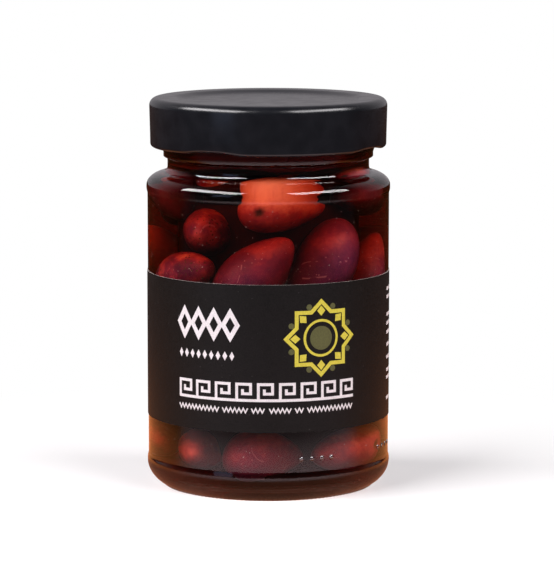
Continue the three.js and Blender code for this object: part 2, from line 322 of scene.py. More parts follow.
def smoothstep(x, low, high):
    """From 0 at low to 1 at high, easing in and out."""
    t = min(max((x - low) / (high - low), 0), 1)
    return t * t * (3 - 2 * t)


def arc(r, z, reach, rise, start, end, steps):
    """Part of an ellipse round (r, z), between two angles in degrees."""
    points = []
    for i in range(steps + 1):
        angle = math.radians(start + (end - start) * i / steps)
        points.append((r + reach * math.cos(angle), z + rise * math.sin(angle)))
    return points


def bend(a, b, c, d, steps):
    """A smooth curve from a to d, which leaves towards b and arrives from c."""
    points = []
    for i in range(steps + 1):
        t = i / steps
        weights = ((1 - t) ** 3, 3 * (1 - t) ** 2 * t, 3 * (1 - t) * t**2, t**3)
        points.append(tuple(sum(w * p[k] for w, p in zip(weights, (a, b, c, d))) for k in range(2)))
    return points


def finish_piece(bm, name, material, node, smooth=True):
    """The bmesh as an object at the origin that rides on the root. It may have a list of materials."""
    mesh = bpy.data.meshes.new(name)
    for face in bm.faces:
        face.smooth = smooth
    bm.to_mesh(mesh)
    bm.free()
    for one in material if isinstance(material, list) else [material]:
        mesh.materials.append(one)
    piece = bpy.data.objects.new(name, mesh)
    bpy.context.scene.collection.objects.link(piece)
    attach(piece, "root")
    if node:
        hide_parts(node)


def spin_profile(bm, profile, steps=TURN_STEPS):
    """Turns a (radius, height) profile, which starts and ends on the axis, round it."""
    verts = [bm.verts.new((r, 0, z)) for r, z in profile]
    edges = [bm.edges.new(pair) for pair in zip(verts, verts[1:])]
    bmesh.ops.spin(
        bm,
        geom=verts + edges,
        cent=(0, 0, 0),
        axis=AXIS,
        angle=2 * math.pi,
        steps=steps,
        use_merge=True,
    )
    bmesh.ops.remove_doubles(bm, verts=bm.verts, dist=1e-6)
    bmesh.ops.recalc_face_normals(bm, faces=bm.faces)


def glass_outside():
    """From the middle of the underside, over the heel, shoulder, neck and finish, to the mouth."""
    centre = RIDGE_RADIUS - SHOULDER_REACH
    foot_in, foot_out = FOOT_RADII
    return [
        *bend((0, PUSH_UP), (foot_in * 0.6, PUSH_UP), (foot_in - 3 * MM, PUSH_UP * 0.4), (foot_in, 0), 10),
        *bend(
            (foot_out, 0),
            (foot_out + 3.9 * MM, 0),
            (RIDGE_RADIUS, HEEL_RIDGE_Z / 2),
            (RIDGE_RADIUS, HEEL_RIDGE_Z),
            16,
        ),
        *bend(
            (RIDGE_RADIUS, HEEL_RIDGE_Z + RIDGE_EASE * 0.3),
            (RIDGE_RADIUS, HEEL_RIDGE_Z + RIDGE_EASE * 0.6),
            (PANEL_RADIUS, HEEL_RIDGE_Z + RIDGE_EASE * 0.7),
            (PANEL_RADIUS, HEEL_RIDGE_Z + RIDGE_EASE),
            4,
        ),
        *bend(
            (PANEL_RADIUS, SHOULDER_RIDGE_Z - RIDGE_EASE),
            (PANEL_RADIUS, SHOULDER_RIDGE_Z - RIDGE_EASE * 0.7),
            (RIDGE_RADIUS, SHOULDER_RIDGE_Z - RIDGE_EASE * 0.6),
            (RIDGE_RADIUS, SHOULDER_RIDGE_Z - RIDGE_EASE * 0.3),
            4,
        ),
        *arc(centre, SHOULDER_RIDGE_Z, SHOULDER_REACH, SHOULDER_RISE, 0, SHOULDER_SWEEP, 18),
        *bend(
            (NECK_RADIUS + 0.9 * MM, NECK_Z[0] - 1.6 * MM),
            (NECK_RADIUS + 0.3 * MM, NECK_Z[0] - 1.2 * MM),
            (NECK_RADIUS, NECK_Z[0] - 0.6 * MM),
            (NECK_RADIUS, NECK_Z[0]),
            5,
        ),
        *bend(
            (NECK_RADIUS, NECK_Z[1]),
            (NECK_RADIUS, NECK_Z[1] + 0.4 * MM),
            (BEAD_RADIUS - 0.3 * MM, NECK_Z[1] + 0.4 * MM),
            (BEAD_RADIUS, BEAD_Z[0]),
            6,
        ),
        (BEAD_RADIUS, BEAD_Z[1]),
        (FINISH_RADIUS, FINISH_Z[0]),
        (FINISH_RADIUS, FINISH_Z[1]),
        (FINISH_RADIUS - 0.9 * MM, MOUTH_Z - 0.5 * MM),
        (FINISH_RADIUS - 1.8 * MM, MOUTH_Z),
    ]


def glass_inside(outward=0):
    """The inner wall from the mouth down to the middle of the floor, moved into the glass by outward."""
    inner = INNER_RADIUS + outward
    bore = BORE_RADIUS + outward
    floor_edge = (FLOOR_EDGE_RADIUS, FLOOR_EDGE_Z - outward)
    return [
        *bend(
            (bore, NECK_Z[0]),
            (bore + 0.9 * MM, SHOULDER_RIDGE_Z + 1 * MM),
            (inner, SHOULDER_RIDGE_Z + 0.6 * MM),
            (inner, INNER_SHOULDER_Z),
            14,
        ),
        *bend(
            (inner, INNER_HEEL_Z),
            (inner, INNER_HEEL_Z - 4 * MM),
            (floor_edge[0] + 5.5 * MM, floor_edge[1]),
            floor_edge,
            12,
        ),
        (0, FLOOR_MIDDLE_Z - outward),
    ]


def jar_glass(dry, wet, stippled):
    """The glass, whose inside is wet up to the brine's edge, and whose base is stippled underneath."""
    bm = bmesh.new()
    mouth = [
        (BORE_RADIUS + 1.1 * MM, MOUTH_Z),
        (BORE_RADIUS, MOUTH_Z - 1.2 * MM),
        (BORE_RADIUS, BRINE_TOP_Z + MENISCUS),
    ]
    spin_profile(bm, glass_outside() + mouth + glass_inside())
    for face in bm.faces:
        middle = face.calc_center_median()
        inward = face.normal.xy.dot(middle.xy) < 0 or (face.normal.z > 0.9 and middle.z < INNER_HEEL_Z)
        if inward and middle.z < BRINE_TOP_Z + MENISCUS and middle.xy.length < INNER_RADIUS + 0.1 * MM:
            face.material_index = 1
        if face.normal.z < -0.3 and middle.z < PUSH_UP and middle.xy.length < FOOT_RADII[1]:
            face.material_index = 2
    finish_piece(bm, "jar_glass_clear", [dry, wet, stippled], "jar_glass")


def mould_dots(material):
    """Two rows of small round dots that stand out of the wall above the heel."""
    bm = bmesh.new()
    for start in DOT_ROW_STARTS:
        for i in range(DOTS_IN_ROW):
            place = (
                Matrix.Rotation(math.radians(start + i * DOT_PITCH), 4, "Z")
                @ Matrix.Translation((0, -PANEL_RADIUS, DOT_Z))
                @ Matrix.Diagonal((1, DOT_HEIGHT / DOT_RADIUS, 1, 1))
            )
            bmesh.ops.create_uvsphere(bm, u_segments=16, v_segments=10, radius=DOT_RADIUS, matrix=place)
    finish_piece(bm, "jar_mould_dots", material, None)


def foot_knurls(material):
    """A ring of small raised dashes under the heel, near the foot."""
    bm = bmesh.new()
    r, z = KNURL_PLACE
    for i in range(KNURLS):
        place = (
            Matrix.Rotation(2 * math.pi * i / KNURLS, 4, "Z")
            @ Matrix.Translation((0, -r, z))
            @ Matrix.Rotation(math.radians(KNURL_LEAN), 4, "X")
            @ Matrix.Diagonal((KNURL_WIDTH, KNURL_LENGTH, KNURL_HEIGHT, 1))
        )
        bmesh.ops.create_uvsphere(bm, u_segments=8, v_segments=6, radius=0.5, matrix=place)
    finish_piece(bm, "jar_foot_knurls", material, None)


def brine(material):
    """The liquid, from a little way into the glass up to its open top, which curls up at the wall."""
    bm = bmesh.new()
    inside = glass_inside(BRINE_INTO_WALL)
    edge = BORE_RADIUS + BRINE_INTO_WALL
    top = bend(
        (0, BRINE_TOP_Z),
        (edge * 0.7, BRINE_TOP_Z),
        (edge - 1.2 * MM, BRINE_TOP_Z),
        (edge, BRINE_TOP_Z + MENISCUS),
        10,
    )
    spin_profile(bm, top + inside)
    open_layer = bm.verts.layers.float.new("open")
    for vert in bm.verts:
        vert[open_layer] = 1 if vert.co.z > BRINE_TOP_Z - MENISCUS else 0
    finish_piece(bm, "brine", material, None)


def bubbles(material):
    """Small air bubbles that cling to the glass, between two heights each."""
    bm = bmesh.new()
    for low, high, count, seed in BUBBLE_ROWS:
        for i in range(seed, seed + 4 * count, 4):
            radius = (BUBBLE_RADII[0] + (BUBBLE_RADII[1] - BUBBLE_RADII[0]) * draw(i) ** 3) * MM
            z = (low + (high - low) * draw(i + 1)) * MM
            place = Matrix.Rotation(math.radians(vary(BUBBLE_SPREAD, i + 2)), 4, "Z") @ Matrix.Translation(
                (0, -(INNER_RADIUS - radius - BUBBLE_OFF_WALL), z)
            )
            bmesh.ops.create_icosphere(bm, subdivisions=1, radius=radius, matrix=place)
    finish_piece(bm, "brine_bubbles", material, None)


def lug_depth(azimuth):
    """How far the skirt's edge is pressed at an azimuth: 1 on a lug, 0 between them."""
    depth = 0
    for lug in LUG_AZIMUTHS:
        away = abs((azimuth - lug + 180) % 360 - 180)
        depth = max(depth, 1 - smoothstep(away, LUG_HALF_WIDTH, LUG_HALF_WIDTH + LUG_SOFTNESS))
    return depth


def lid(material):
    """The lid with its recessed panel, rounded corner, skirt, rolled edge and lugs."""
    bm = bmesh.new()
    panel_z = LID_TOP_Z - LID_PANEL_DROP
    skirt = LID_RADIUS - LID_TAPER
    half = CURL / 2
    curl_z = LID_BOTTOM_Z + half
    step_in, step_out = LID_STEP_RADII
    corner = LID_RADIUS - LID_CORNER
    spin_profile(
        bm,
        [
            (0, panel_z - LID_SHEET),
            (step_in, panel_z - LID_SHEET),
            (step_out, LID_TOP_Z - LID_SHEET),
            (corner, LID_TOP_Z - LID_SHEET),
            (LID_RADIUS - LID_SHEET, LID_TOP_Z - LID_CORNER),
            (skirt - LID_SHEET, curl_z + half),
            *arc(skirt - half, curl_z, half, half, 110, 360, 20),
            (skirt + LID_TAPER * 0.2, curl_z + 3 * MM),
            *arc(corner, LID_TOP_Z - LID_CORNER, LID_CORNER, LID_CORNER, 0, 88, 14),
            *bend(
                (step_out + 0.8 * MM, LID_TOP_Z),
                (step_out - 0.4 * MM, LID_TOP_Z),
                (step_in + 0.8 * MM, panel_z),
                (step_in - 0.4 * MM, panel_z),
                10,
            ),
            (step_in * 0.5, panel_z),
            (0, panel_z),
        ],
    )
    top = LID_BOTTOM_Z + CURL + LUG_FADE
    for vert in bm.verts:
        r = vert.co.xy.length
        low = min(max((top - vert.co.z) / (top - LID_BOTTOM_Z), 0), 1)
        depth = low * lug_depth(math.degrees(math.atan2(vert.co.x, -vert.co.y)))
        if depth and r:
            vert.co.xy *= (r - LUG_PRESS * depth) / r
            vert.co.z += LUG_RISE * depth
    finish_piece(bm, "lid_lacquered", material, "lid")


def label(printed, cut):
    """The wrapped label, black outside, with the pale paper showing at its cut edges."""
    bm = bmesh.new()
    inner = LABEL_RADIUS - LABEL_THICKNESS
    low, high = LABEL_Z
    corners = [(inner, low), (LABEL_RADIUS, low), (LABEL_RADIUS, high), (inner, high)]
    verts = [bm.verts.new((0, -r, z)) for r, z in corners]
    end = bm.faces.new(verts)
    start = Matrix.Rotation(math.radians(LABEL_START), 3, "Z")
    bmesh.ops.rotate(bm, verts=verts, cent=(0, 0, 0), matrix=start)
    bmesh.ops.spin(
        bm,
        geom=[*end.verts, *end.edges, end],
        cent=(0, 0, 0),
        axis=AXIS,
        angle=math.radians(360 - LABEL_OPEN),
        steps=LABEL_STEPS,
        use_merge=False,
    )
    bmesh.ops.remove_doubles(bm, verts=bm.verts, dist=1e-7)
    bmesh.ops.recalc_face_normals(bm, faces=bm.faces)
    for face in bm.faces:
        if abs(face.normal.z) > 0.5:
            face.material_index = 1
    finish_piece(bm, "label_paper", [printed, cut], "label", smooth=False)


def ribbon(bm, points, width, closed=False):
    """A flat line of even width with mitred corners, laid out as (along, up)."""
    path = [Vector(point) for point in points]
    last = len(path) - 1
    sides = []
    for i, point in enumerate(path):
        back = point - path[i - 1] if i or closed else path[1] - point
        ahead = path[(i + 1) % len(path)] - point if i < last or closed else back
        across = Vector((-ahead.y, ahead.x)).normalized()
        corner = (across + Vector((-back.y, back.x)).normalized()).normalized()
        reach = corner * (width / 2 / corner.dot(across))
        sides.append([bm.verts.new((end.x, 0, end.y)) for end in (point + reach, point - reach)])
    following = sides[1:] + sides[:1] if closed else sides[1:]
    for (a, b), (c, d) in zip(sides, following):
        bm.faces.new((a, b, d, c))


def flat_shape(bm, points):
    """One flat face, its corners given as (along, up)."""
    bm.faces.new([bm.verts.new((along, 0, up)) for along, up in points])


def bar(bm, start, end, low, high):
    flat_shape(bm, ((start, low), (end, low), (end, high), (start, high)))


def turned(centre, radius, degrees):
    """A point at a distance from the centre, clockwise from straight up."""
    angle = math.radians(degrees)
    return centre[0] + radius * math.sin(angle), centre[1] + radius * math.cos(angle)


def circle(centre, radius, steps):
    return [turned(centre, radius, -360 / steps * i) for i in range(steps)]


def lozenge(centre, half):
    (x, z), (w, h) = centre, half
    return (x - w, z), (x, z - h), (x + w, z), (x, z + h)


def key_border(bm):
    x, z = BORDER_START
    end = x + BORDER_PITCH * (BORDER_KEYS - 1) + BORDER_KEY[2][0]
    bar(bm, x - BORDER_LINE / 2, end + BORDER_LINE / 2, z - BORDER_LINE, z)
    for i in range(BORDER_KEYS):
        ribbon(bm, [(x + BORDER_PITCH * i + dx, z + dz) for dx, dz in BORDER_KEY], BORDER_LINE)


def diamonds(bm):
    x, z = DIAMOND_START
    for i in range(DIAMONDS):
        ribbon(bm, lozenge((x + DIAMOND_PITCH * i, z), DIAMOND_HALF), DIAMOND_LINE, closed=True)


def lozenges(bm):
    x, z = LOZENGE_START
    for i in range(LOZENGES):
        flat_shape(bm, lozenge((x + LOZENGE_PITCH * i, z), LOZENGE_HALF))


def zigzags(bm):
    pitch, height = ZIGZAG_HALF
    for start, length in ZIGZAG_RUNS:
        teeth = round(length / pitch)
        points = [(start + pitch * i, ZIGZAG_Z + height * (-1) ** i) for i in range(teeth + 1)]
        ribbon(bm, points, ZIGZAG_LINE)


def side_rows(bm):
    """Rows of dashes of uneven length, round the side of the jar."""
    n = 0
    for z in SIDE_ROWS:
        along = SIDE_COLUMN[0]
        while along < SIDE_COLUMN[1]:
            length = SIDE_DASH[0] + (SIDE_DASH[1] - SIDE_DASH[0]) * draw(n)
            bar(bm, along, along + length, z - SIDE_ROW_HEIGHT / 2, z + SIDE_ROW_HEIGHT / 2)
            along += length + SIDE_GAP
            n += 1


def white_print(bm):
    key_border(bm)
    diamonds(bm)
    lozenges(bm)
    zigzags(bm)
    side_rows(bm)


def star_lines(bm):
    """A pointed tile star with a ring in it, and a ray towards each point."""
    half_turn = 180 / STAR_POINTS
    inner = STAR_RADIUS * math.cos(math.radians(2 * half_turn)) / math.cos(math.radians(half_turn))
    points = []
    for i in range(2 * STAR_POINTS):
        points.append(turned(STAR_CENTRE, inner if i % 2 else STAR_RADIUS, -half_turn * i))
    ribbon(bm, points, STAR_LINE, closed=True)
    ring, line = STAR_RING
    ribbon(bm, circle(STAR_CENTRE, ring, 48), line, closed=True)
    start, end, half = STAR_RAYS
    for i in range(STAR_POINTS):
        turn = 2 * half_turn * i
        foot = turned(STAR_CENTRE, start, turn)
        tip = turned(STAR_CENTRE, end, turn)
        middle = Vector(turned(STAR_CENTRE, (start + end) / 2, turn))
        side = Vector(turned((0, 0), half, turn + 90))
        flat_shape(bm, (foot, middle + side, tip, middle - side))


def star_middle(bm):
    """The dark disc in the star, and a dark bead between each two of its points."""
    flat_shape(bm, circle(STAR_CENTRE, STAR_DISC, 32))
    out, radius = STAR_BEADS
    half_turn = 180 / STAR_POINTS
    for i in range(STAR_POINTS):
        flat_shape(bm, circle(turned(STAR_CENTRE, out, half_turn + 2 * half_turn * i), radius, 12))


def printed_ink(name, material, draw_shapes):
    """Flat shapes thickened a little and wrapped round the label."""
    bm = bmesh.new()
    draw_shapes(bm)
    raised = bmesh.ops.extrude_face_region(bm, geom=bm.faces[:])["geom"]
    for element in raised:
        if isinstance(element, bmesh.types.BMVert):
            element.co.y = -1
    low = min(vert.co.x for vert in bm.verts)
    high = max(vert.co.x for vert in bm.verts)
    for i in range(1, math.ceil((high - low) / PRINT_STEP)):
        bmesh.ops.bisect_plane(
            bm,
            geom=bm.verts[:] + bm.edges[:] + bm.faces[:],
            dist=1e-5,
            plane_co=(low + PRINT_STEP * i, 0, 0),
            plane_no=(1, 0, 0),
        )
    for vert in bm.verts:
        angle = vert.co.x * MM / LABEL_RADIUS
        r = LABEL_RADIUS + (PRINT_THICKNESS if vert.co.y < -0.5 else -PRINT_SINK)
        vert.co = (r * math.sin(angle), -r * math.cos(angle), vert.co.z * MM)
    bmesh.ops.recalc_face_normals(bm, faces=bm.faces)
    finish_piece(bm, name, material, None, smooth=False)


def olive_places():
    """Every olive that shows, as its place in the jar and its tone."""
    places = list(FRONT_OLIVES)
    for z, radius, first, last, count, tilt, spread in OLIVE_ROWS:
        for i in range(count):
            n = 10 * (len(places) - len(FRONT_OLIVES))
            places.append(
                (
                    first + (last - first) * i / (count - 1),
                    z + vary(ROW_RISE, n),
                    radius,
                    tilt + vary(spread, n + 1),
                    vary(ROW_YAW, n + 2),
                    ROW_LENGTH[0] + vary(ROW_LENGTH[1], n + 3),
                    ROW_WIDTH[0] + vary(ROW_WIDTH[1], n + 4),
                    draw(n + 5) * ROW_TONE,
                    vary(ROW_SCAR_TURN, n + 6),
                )
            )
    return places


def laid(azimuth, z, radius, tilt, yaw):
    """From an olive along +X to its place in the jar."""
    return (
        Matrix.Rotation(math.radians(azimuth), 4, "Z")
        @ Matrix.Translation((0, -radius * MM, z * MM))
        @ Matrix.Rotation(-math.radians(yaw), 4, "Z")
        @ Matrix.Rotation(-math.radians(tilt), 4, "Y")
    )


def shape_olive(verts, length, width, scar_turn, scar_layer, seed):
    """A unit sphere with its poles on Z becomes an olive along +X, with the scar of its stalk."""
    shift = Vector((seed * 7.3, seed * 3.1, seed * 5.7))
    turn = math.radians(scar_turn)
    scar = Vector((-math.sin(turn), 0, -math.cos(turn)))
    for vert in verts:
        along = vert.co.z
        drawn_out = OLIVE_TIP * max(0, along) ** 4
        spread = (vert.co - scar).length
        lump = noise.noise(vert.co * 1.7 + shift) + 0.4 * noise.noise(vert.co * 4.1 + shift)
        wide = width / 2 * (1 - OLIVE_TAPER * along) + lump * OLIVE_LUMPS
        x = length * (along / 2 + drawn_out - OLIVE_TIP / 2)
        level = 2 * x / length
        skin = Vector((x, vert.co.x * wide, vert.co.y * wide - OLIVE_BEND * length * (level**2 - 0.4)))
        sunk = SCAR_DEPTH * (1 - smoothstep(spread, SCAR_RADIUS * 0.3, SCAR_RADIUS))
        vert[scar_layer] = 1 - smoothstep(spread, SCAR_RADIUS * 0.5, SCAR_RADIUS * 1.1)
        vert.co = skin - skin.normalized() * sunk


def olives(material):
    """The olives that show, with their tone, scar and flecks kept as attributes. The tone carries painted
    light and shade as well: paler on each olive's upper side, darker below.
    """
    bm = bmesh.new()
    tone_and_painted_light_layer = bm.verts.layers.float.new("tone")
    scar_layer = bm.verts.layers.float.new("scar")
    fleck_layer = bm.verts.layers.float.new("flecked")
    for seed, (azimuth, z, radius, tilt, yaw, length, width, tone, scar_turn) in enumerate(olive_places()):
        verts = bmesh.ops.create_uvsphere(
            bm, u_segments=OLIVE_SEGMENTS, v_segments=OLIVE_RINGS, radius=1
        )["verts"]
        shape_olive(verts, length * MM, width * MM, scar_turn, scar_layer, seed)
        bmesh.ops.transform(bm, matrix=laid(azimuth, z, radius, tilt, yaw), verts=verts)
        for vert in verts:
            # Painted light and shade from above go into the tone: paler on each olive's upper side, most of
            # all at its upper edge, darker on its lower side.
            height = min(max((vert.co.z - z * MM) / (width / 2 * MM), -1), 1)
            painted_light = UPPER_EDGE_PAINTED_LIGHT * height**2 if height > 0 else height
            vert[tone_and_painted_light_layer] = tone + (OLIVE_PAINTED_TOP_LIGHT[0] + OLIVE_PAINTED_TOP_LIGHT[1] * tone) * painted_light
            vert[fleck_layer] = seed in FLECKED_OLIVES
    bmesh.ops.recalc_face_normals(bm, faces=bm.faces)
    finish_piece(bm, "olives_whole", material, "olives")


def olive_core(material):
    """One dark body in the middle of the jar, in place of the olives deep in it; its darkness is painted
    shade.
    """
    bm = bmesh.new()
    r = CORE_RADIUS - CORE_ROUNDING
    spin_profile(
        bm,
        [
            (0, CORE_Z[0]),
            *arc(r, CORE_Z[0] + CORE_ROUNDING, CORE_ROUNDING, CORE_ROUNDING, -90, 0, 6),
            *arc(r, CORE_Z[1] - CORE_ROUNDING, CORE_ROUNDING, CORE_ROUNDING, 0, 90, 6),
            (0, CORE_Z[1]),
        ],
        steps=CORE_STEPS,
    )
    finish_piece(bm, "olives_deep", material, "olives")


def new_material(name):
    material = bpy.data.materials.new(name)
    material.use_nodes = True
    nodes = material.node_tree.nodes
    links = material.node_tree.links
    shader = nodes["Principled BSDF"]
    return material, nodes, links, shader


def add_node(nodes, kind, **values):
    node = nodes.new(kind)
    for key, value in values.items():
        setattr(node, key, value)
    return node


def feed(links, socket, value):
    """Links a socket to an input, or sets the input to a number or colour."""
    if isinstance(value, bpy.types.NodeSocket):
        links.new(value, socket)
    else:
        socket.default_value = value


def math_node(nodes, links, operation, a, b=0.0, c=0.0):
    node = add_node(nodes, "ShaderNodeMath", operation=operation)
    for socket, value in zip(node.inputs, (a, b, c)):
        feed(links, socket, value)
    return node.outputs[0]


def map_range(nodes, links, value, source, target=(0, 1)):
    node = nodes.new("ShaderNodeMapRange")
    node.interpolation_type = "SMOOTHSTEP"
    for name, number in zip(("From Min", "From Max", "To Min", "To Max"), (*source, *target)):
        feed(links, node.inputs[name], number)
    links.new(value, node.inputs["Value"])
    return node.outputs["Result"]


def mix_colour(nodes, links, mask, a, b):
    node = add_node(nodes, "ShaderNodeMix", data_type="RGBA")
    for name, value in (("Factor_Float", mask), ("A_Color", a), ("B_Color", b)):
        feed(links, next(socket for socket in node.inputs if socket.identifier == name), value)
    return next(socket for socket in node.outputs if socket.identifier == "Result_Color")


def mix_shaders(nodes, links, mask, a, b):
    mix = nodes.new("ShaderNodeMixShader")
    links.new(mask, mix.inputs["Fac"])
    links.new(a, mix.inputs[1])
    links.new(b, mix.inputs[2])
    return mix.outputs["Shader"]


def new_group(name, numbers):
    """A node group that takes a place and named numbers, and gives one mask."""
    tree = bpy.data.node_groups.new(name, "ShaderNodeTree")
    tree.interface.new_socket("Place", in_out="INPUT", socket_type="NodeSocketVector")
    for label, value in numbers.items():
        socket = tree.interface.new_socket(label, in_out="INPUT", socket_type="NodeSocketFloat")
        socket.default_value = value
    tree.interface.new_socket("Mask", in_out="OUTPUT", socket_type="NodeSocketFloat")
    given = tree.nodes.new("NodeGroupInput")
    result = tree.nodes.new("NodeGroupOutput")
    return tree, tree.nodes, tree.links, given.outputs, result.inputs["Mask"]


def noise_at(nodes, links, place, scale, detail=2.0):
    node = nodes.new("ShaderNodeTexNoise")
    links.new(place, node.inputs["Vector"])
    feed(links, node.inputs["Scale"], scale)
    node.inputs["Detail"].default_value = detail
    return node.outputs["Fac"]


def mottle_group():
    """Soft cloudy patches, from 0 to 1."""
    tree, nodes, links, given, mask = new_group("mottle", {"Scale": 100, "Contrast": 0.3})
    cloud = noise_at(nodes, links, given["Place"], given["Scale"], 3.0)
    half = math_node(nodes, links, "MULTIPLY", given["Contrast"], 0.5)
    low = math_node(nodes, links, "SUBTRACT", 0.5, half)
    high = math_node(nodes, links, "ADD", 0.5, half)
    links.new(map_range(nodes, links, cloud, (low, high)), mask)
    return tree


def specks_group():
    """Sparse round specks of uneven size: dust, pores or bubbles."""
    tree, nodes, links, given, mask = new_group("specks", {"Scale": 1000, "Size": 0.2, "Share": 0.2})
    cell = nodes.new("ShaderNodeTexVoronoi")
    links.new(given["Place"], cell.inputs["Vector"])
    links.new(given["Scale"], cell.inputs["Scale"])
    pick = nodes.new("ShaderNodeSeparateColor")
    links.new(cell.outputs["Color"], pick.inputs["Color"])
    chosen = math_node(nodes, links, "LESS_THAN", pick.outputs["Red"], given["Share"])
    size = math_node(nodes, links, "MULTIPLY", given["Size"], pick.outputs["Green"])
    edge = math_node(nodes, links, "SUBTRACT", size, cell.outputs["Distance"])
    inside = map_range(nodes, links, edge, (0, 0.06))
    links.new(math_node(nodes, links, "MULTIPLY", inside, chosen), mask)
    return tree


def scratches_group():
    """Short thin curved lines where two soft noises meet."""
    tree, nodes, links, given, mask = new_group("scratches", {"Scale": 60, "Width": 0.004, "Share": 0.4})
    line = noise_at(nodes, links, given["Place"], given["Scale"], 0.0)
    off = math_node(nodes, links, "ABSOLUTE", math_node(nodes, links, "SUBTRACT", line, 0.5))
    thin = math_node(nodes, links, "SUBTRACT", 1, math_node(nodes, links, "DIVIDE", off, given["Width"]))
    clean = math_node(nodes, links, "MAXIMUM", thin, 0)
    where = noise_at(nodes, links, given["Place"], math_node(nodes, links, "MULTIPLY", given["Scale"], 2.3))
    chosen = math_node(nodes, links, "LESS_THAN", where, given["Share"])
    links.new(math_node(nodes, links, "MULTIPLY", clean, chosen), mask)
    return tree


def apply_group(nodes, links, tree, place, **numbers):
    node = nodes.new("ShaderNodeGroup")
    node.node_tree = tree
    links.new(place, node.inputs["Place"])
    for label, value in numbers.items():
        feed(links, node.inputs[label], value)
    return node.outputs["Mask"]


def attribute(nodes, name):
    return add_node(nodes, "ShaderNodeAttribute", attribute_name=name).outputs["Fac"]


def object_place(nodes):
    return nodes.new("ShaderNodeTexCoord").outputs["Object"]


def roughen(nodes, links, shader, height, distance):
    bump = nodes.new("ShaderNodeBump")
    bump.inputs["Strength"].default_value = 1
    bump.inputs["Distance"].default_value = distance
    links.new(height, bump.inputs["Height"])
    links.new(bump.outputs["Normal"], shader.inputs["Normal"])


def let_lamps_through(material):
    """Lamps shine through the clear material without being bent, as in any small clear thing."""
    nodes = material.node_tree.nodes
    links = material.node_tree.links
    solid = nodes["Principled BSDF"].outputs["BSDF"]
    clear = nodes.new("ShaderNodeBsdfTransparent").outputs["BSDF"]
    shadow = nodes.new("ShaderNodeLightPath").outputs["Is Shadow Ray"]
    surface = mix_shaders(nodes, links, shadow, solid, clear)
    links.new(surface, nodes["Material Output"].inputs["Surface"])


def glass_material(name, ior, roughness=0):
    material, nodes, links, shader = new_material(name)
    shader.inputs["Base Color"].default_value = GLASS_TINT
    shader.inputs["Roughness"].default_value = roughness
    shader.inputs["IOR"].default_value = ior
    shader.inputs["Transmission Weight"].default_value = 1
    let_lamps_through(material)
    return material


def dot_material():
    """A small glass bead in painted shade: a dark colour stands in for the view bent into the brine, most of
    all at its edge.
    """
    material, nodes, links, shader = new_material("mould_dot")
    shader.inputs["Base Color"].default_value = BEAD_PAINTED_SHADE_COLOUR
    shader.inputs["Roughness"].default_value = DOT_ROUGHNESS
    shader.inputs["IOR"].default_value = 2
    facing = nodes.new("ShaderNodeLayerWeight")
    facing.inputs["Blend"].default_value = 0.5
    # Painted shade: the dark colour covers more towards the bead's edge.
    alpha = map_range(nodes, links, facing.outputs["Facing"], (0.05, 0.7), (0.6, 0.95))
    links.new(alpha, shader.inputs["Alpha"])
    shader.inputs["Coat Weight"].default_value = 1
    shader.inputs["Coat IOR"].default_value = 2.5
    shader.inputs["Coat Roughness"].default_value = DOT_COAT_ROUGHNESS
    return material


def bubble_material():
    # An air bubble as an opaque bead: a cloudy mix of painted glint and painted shade stands in for the
    # light it reflects and bends.
    material, nodes, links, shader = new_material("air_bubble")
    place = object_place(nodes)
    cloud = noise_at(nodes, links, place, 900, 1.0)
    links.new(mix_colour(nodes, links, cloud, BEAD_PAINTED_SHADE_COLOUR, BUBBLE_PAINTED_GLINT_COLOUR), shader.inputs["Base Color"])
    shader.inputs["Roughness"].default_value = DOT_ROUGHNESS
    return material


def brine_material():
    """Dark brine. Its only surface of its own is the open top: elsewhere the wet glass bends the light."""
    material, nodes, links, shader = new_material("brine")
    shader.inputs["Base Color"].default_value = (1, 1, 1, 1)
    shader.inputs["Roughness"].default_value = 0
    shader.inputs["IOR"].default_value = BRINE_IOR
    shader.inputs["Transmission Weight"].default_value = 1
    let_lamps_through(material)
    output = nodes["Material Output"]
    surface = output.inputs["Surface"].links[0].from_socket
    top = attribute(nodes, "open")
    clear = nodes.new("ShaderNodeBsdfTransparent").outputs["BSDF"]
    links.new(mix_shaders(nodes, links, top, clear, surface), output.inputs["Surface"])
    volume = nodes.new("ShaderNodeVolumeAbsorption")
    volume.inputs["Color"].default_value = BRINE_CLEARNESS
    volume.inputs["Density"].default_value = BRINE_DENSITY
    links.new(volume.outputs["Volume"], output.inputs["Volume"])
    return material


def lid_material(groups):
    """Black lacquer on tin plate, with the faint ripple of the sheet, fine grain and a little dust."""
    material, nodes, links, shader = new_material("black_lacquer")
    place = object_place(nodes)
    dust = apply_group(nodes, links, groups["specks"], place, Scale=700, Size=0.16, Share=0.05)
    cloud = apply_group(nodes, links, groups["mottle"], place, Scale=220, Contrast=0.5)
    lacquer = mix_colour(nodes, links, cloud, LACQUER_COLOURS[0], LACQUER_COLOURS[1])
    links.new(mix_colour(nodes, links, dust, lacquer, DUST_COLOUR), shader.inputs["Base Color"])
    links.new(map_range(nodes, links, cloud, (0, 1), LACQUER_ROUGHNESS), shader.inputs["Roughness"])
    ripple = noise_at(nodes, links, place, 90, 1.0)
    grain = noise_at(nodes, links, place, 2600, 2.0)
    height = math_node(nodes, links, "MULTIPLY_ADD", grain, 0.02, ripple)
    roughen(nodes, links, shader, height, 0.1 * MM)
    return material


